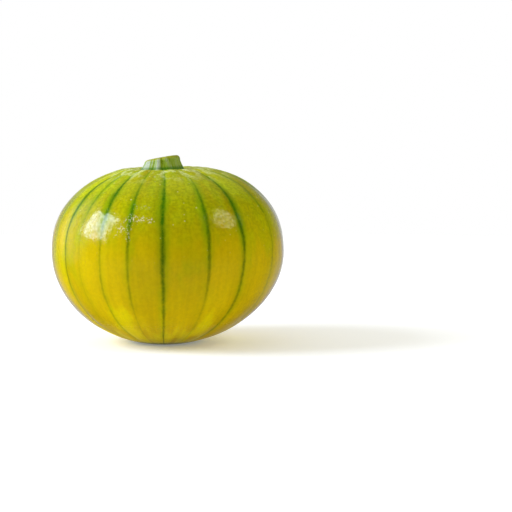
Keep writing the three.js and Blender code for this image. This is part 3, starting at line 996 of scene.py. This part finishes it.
side_share = np.linspace(0, 1, SIDE_RINGS, endpoint=False)
side_flare = (STALK_FOOT_RADIUS - STALK_NECK_RADIUS) * (1 - side_share) ** STALK_TAPER
side_height = side_share * (STALK_HEIGHT - CUT_EDGE_RADIUS)
edge_turn = np.linspace(0, math.pi / 2, EDGE_RINGS)
edge_radius = STALK_NECK_RADIUS - CUT_EDGE_RADIUS * (1 - np.cos(edge_turn))
edge_height = STALK_HEIGHT - CUT_EDGE_RADIUS * (1 - np.sin(edge_turn))
face_edge = STALK_NECK_RADIUS - CUT_EDGE_RADIUS
face_radius = np.linspace(face_edge, MIDDLE_RING_RADIUS, FACE_RINGS + 1)[1:]
stalk_radius = np.concatenate([STALK_NECK_RADIUS + side_flare, edge_radius, face_radius])[:, None]
stalk_height = np.concatenate([side_height, edge_height, 0 * face_radius + STALK_HEIGHT])[:, None]
stalk_share = stalk_height / STALK_HEIGHT

stalk_azimuth = np.linspace(-180, 180, STALK_COLUMNS, endpoint=False)
ridge_rise = np.zeros((len(stalk_radius), STALK_COLUMNS))
paleness = np.zeros_like(ridge_rise)
crest = np.zeros_like(ridge_rise)
for at_foot, at_cut, spread_angle, rise, pale in STALK_RIDGES:
    off = stalk_azimuth - (at_foot + (at_cut - at_foot) * stalk_share)
    off = (off + 180) % 360 - 180
    ridge = np.exp(-((off / spread_angle) ** 2))
    ridge_rise += rise * ridge
    crest = np.maximum(crest, ridge)
    paleness = np.maximum(paleness, pale * ridge)

stalk_turn = np.radians(stalk_azimuth)
grown = stalk_radius * (1 + ridge_rise * (1 + FOOT_FLARE * (1 - stalk_share) ** FLARE_SHARPNESS))
across_x = grown * np.sin(stalk_turn)
across_y = -grown * np.cos(stalk_turn)
slant = across_x * math.tan(CUT_SLOPE) - across_y * math.tan(CUT_TILT)
sunk = (GAP + SUNK) * (1 - stalk_share) ** SUNK_SHARPNESS
lifted = stalk_height + slant * stalk_share - sunk
stalk_points = np.stack([across_x, across_y, lifted], axis=-1)
print("stalk rings:", len(stalk_radius))

# %% [markdown]
# ## Fibres, pith and the knife's marks
# Fibres roughen the side, drawn out lengthwise, and a narrow groove runs beside each ridge. The cut
# face isn't flat: the pith in its middle has shrunk a little, and the knife left shallow waves.
# All of this could be a bump, but the stalk stands up against the white, where its outline shows.

# %% Roughen the stalk
FIBRE_HEIGHT = 0.12 * MM
FIBRE_TURNS, FIBRE_RISE = 6, 0.8
FINE_FIBRES, FINE_FIBRE_SHARE = 2.3, 0.5
GROOVE_DEPTH = 0.18 * MM
GROOVE_BOTTOM, GROOVE_EDGE = 0.02, 0.22
PITH_RADIUS, PITH_FLOOR_RADIUS = 2.0 * MM, 1.0 * MM
PITH_SINK = 0.35 * MM
SIDE_ENDS = STALK_HEIGHT - 0.4 * CUT_EDGE_RADIUS
FACE_STARTS, FACE_FULL = face_edge + 0.2 * MM, face_edge - 0.6 * MM
KNIFE_WAVE, KNIFE_WAVE_LENGTH = 0.04 * MM, 1.6 * MM
KNIFE_X, KNIFE_Y = 0.8, 0.6
FACE_ROUGHNESS, FACE_LUMP_SIZE = 0.12 * MM, 1.3 * MM

stalk_circle = on_circle(stalk_turn, FIBRE_TURNS, stalk_share * FIBRE_RISE)
fibres = noise_over(stalk_circle, 1.0, seed=5)
fibres += FINE_FIBRE_SHARE * noise_over(stalk_circle * FINE_FIBRES, 1.0, seed=8)
groove = smooth(GROOVE_EDGE, GROOVE_BOTTOM, crest)
on_side = smooth(STALK_HEIGHT, SIDE_ENDS, stalk_height)
side_relief = (FIBRE_HEIGHT * fibres - GROOVE_DEPTH * groove) * on_side
stalk_points = stalk_points + outward_normals(stalk_points) * side_relief[..., None]

on_face = smooth(FACE_STARTS, FACE_FULL, stalk_radius) * (1 - on_side)
sunken_pith = smooth(PITH_RADIUS, PITH_FLOOR_RADIUS, stalk_radius)
knife_way = across_x * KNIFE_X + across_y * KNIFE_Y
wave = KNIFE_WAVE * np.sin(2 * math.pi * knife_way / KNIFE_WAVE_LENGTH)
rough_face = FACE_ROUGHNESS * noise_over(stalk_points, FACE_LUMP_SIZE, seed=21)
stalk_points[..., 2] += on_face * (wave + rough_face - PITH_SINK * sunken_pith)
print("fibres, mm:", round(side_relief.min() / MM, 2), "to", round(side_relief.max() / MM, 2))

# %% [markdown]
# ## Seating the stalk
# The seat slants with the shoulder, so the whole stalk is tipped by the same slope and then set
# down. It needs facts for its paint as well: where the crests of the ridges are, how pale they are,
# how far each point is from the axis, and how far up.

# %% Set the stalk on its seat
cosine, sine = math.cos(SHOULDER_SLANT), math.sin(SHOULDER_SLANT)
slanted_x = stalk_points[..., 0] * cosine - stalk_points[..., 2] * sine
slanted_z = stalk_points[..., 0] * sine + stalk_points[..., 2] * cosine
foot = np.array([SEAT_SHIFT, 0, seat_height + math.tan(SHOULDER_SLANT) * SEAT_SHIFT + GAP])
stalk_points = np.stack([slanted_x, stalk_points[..., 1], slanted_z], axis=-1) + foot
stalk = weave("stalk_skin", stalk_points)

stalk_facts = {"crest": crest, "paleness": paleness, "from_axis": stalk_radius / face_edge}
store(stalk, stalk_points, stalk_facts)
store(stalk, stalk_points, {"up_stalk": stalk_share}, tips=(0, 1))
store_growth(stalk, stalk_turn, stalk_share)
print("stalk top, mm:", round(stalk_points[..., 2].max() / MM, 2), "frame:", round(stalk_high.z / MM, 2))

# %% [markdown]
# ## Stalk colours
# The ridges are pale, almost white, where the skin is thick and scuffed. The furrows between them
# are olive green. A dark green line runs round the foot, fainter on the palest ridges: partly the
# stalk's own green and partly painted shade where it meets the fruit. The edge of the cut has dried
# to a dull olive. Streaks along the growth run through all of it.

# %% Paint the stalk's side
PALE_RIDGE = (0.46, 0.52, 0.37, 1)
STALK_GREEN = (0.30, 0.42, 0.050, 1)
FURROW_OLIVE = (0.23, 0.33, 0.004, 1)
FOOT_GREEN_AND_SHADE = (0.055, 0.180, 0.002, 1)
DRIED_EDGE = (0.35, 0.34, 0.015, 1)
BARK_STREAKS = (14.0, 0.8)
CREST_STREAKED_BY, PALENESS_STREAKED_BY = 0.8, 0.6
OUT_OF_FURROW, ON_PALE_RIDGE = (0.0, 0.5), (0.25, 0.85)
DRIED_UPWARDS, DRIED_STRENGTH = (0.72, 0.95), 0.8
FOOT_LINE, FOOT_LINE_STRENGTH = (0.32, 0.12), (0.93, 0.53)
BARK_GRAIN, BARK_GRAIN_DEPTH = (1600.0, 2600.0), 0.06 * MM

stalk_side, bark, bark_shader = new_material("stalk side")
bark_streak = swing(bark, streaks(bark, *BARK_STREAKS))
bark_paleness, up_stalk = fact(bark, "paleness"), fact(bark, "up_stalk")
streaky_crest = times(bark, bark_streak, CREST_STREAKED_BY, plus=fact(bark, "crest"))
streaky_pale = times(bark, bark_streak, PALENESS_STREAKED_BY, plus=bark_paleness)
# foot line: partly the stalk's own dark green, partly painted shade where the stalk meets the fruit
foot_line = slide(bark, bark_paleness, *FOOT_LINE_STRENGTH)
bark_colour = coats(
    bark,
    FURROW_OLIVE,
    (between(bark, streaky_crest, *OUT_OF_FURROW), STALK_GREEN),
    (between(bark, streaky_pale, *ON_PALE_RIDGE), PALE_RIDGE),
    (between(bark, up_stalk, *DRIED_UPWARDS, full=DRIED_STRENGTH), DRIED_EDGE),
    (times(bark, between(bark, up_stalk, *FOOT_LINE), foot_line), FOOT_GREEN_AND_SHADE),
)

bark_grain = grain(bark, place_on(bark), *BARK_GRAIN)
bark_normal = bump(bark, bark_grain, BARK_GRAIN_DEPTH, strength=0.7)
bark_look = {"Base Color": bark_colour, "Roughness": 0.45, "IOR": 1.2, "Normal": bark_normal}
plug(bark, bark_shader, bark_look)
stalk.data.materials.append(stalk_side)
print("stalk side nodes:", len(bark.nodes))

# %% [markdown]
# ## The cut face
# A fresh cut shows the stem's build: a green rim, a ring of pale bundles that carried the sap, and
# a soft, pale pith. The bundles stand behind the ridges, so they are drawn with the same crests.

# %% Paint the cut face
RIM_GREEN = (0.17, 0.27, 0.04, 1)
FLESH = (0.38, 0.46, 0.16, 1)
BUNDLE = (0.62, 0.66, 0.40, 1)
PITH = (0.50, 0.52, 0.24, 1)
# places as shares of the cut's radius, from the middle out
PITH_FADES, RIM_STARTS = (0.42, 0.28), (0.84, 0.97)
BUNDLES_START, BUNDLES_END = (0.52, 0.66), (0.88, 0.74)
BEHIND_RIDGE = (0.25, 0.7)
UNEVEN_TO_A_METRE, UNEVEN_BY = 900.0, 0.12
CUT_GRAIN, CUT_GRAIN_DEPTH = (1500.0, 2200.0), 0.08 * MM

cut_face, cut, cut_shader = new_material("cut face")
cut_place = place_on(cut)
uneven = swing(cut, cloud(cut, cut_place, UNEVEN_TO_A_METRE, detail=3.0))
uneven_radius = times(cut, uneven, UNEVEN_BY, plus=fact(cut, "from_axis"))
bundles = between(cut, uneven_radius, *BUNDLES_START)
bundles = times(cut, bundles, between(cut, uneven_radius, *BUNDLES_END))
bundles = times(cut, bundles, between(cut, fact(cut, "crest"), *BEHIND_RIDGE))
pith = between(cut, uneven_radius, *PITH_FADES)
rim = between(cut, uneven_radius, *RIM_STARTS)
cut_colour = coats(cut, FLESH, (pith, PITH), (rim, RIM_GREEN), (bundles, BUNDLE))

cut_normal = bump(cut, grain(cut, cut_place, *CUT_GRAIN), CUT_GRAIN_DEPTH, strength=0.6)
plug(cut, cut_shader, {"Base Color": cut_colour, "Roughness": 0.6, "Normal": cut_normal})
stalk.data.materials.append(cut_face)

first_face_ring = SIDE_RINGS + EDGE_RINGS - 2
for polygon in stalk.data.polygons:
    if min(polygon.vertices) >= first_face_ring * STALK_COLUMNS:
        polygon.material_index = 1
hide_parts("stalk")
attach(stalk, "root")
print("faces on the cut:", sum(p.material_index for p in stalk.data.polygons))
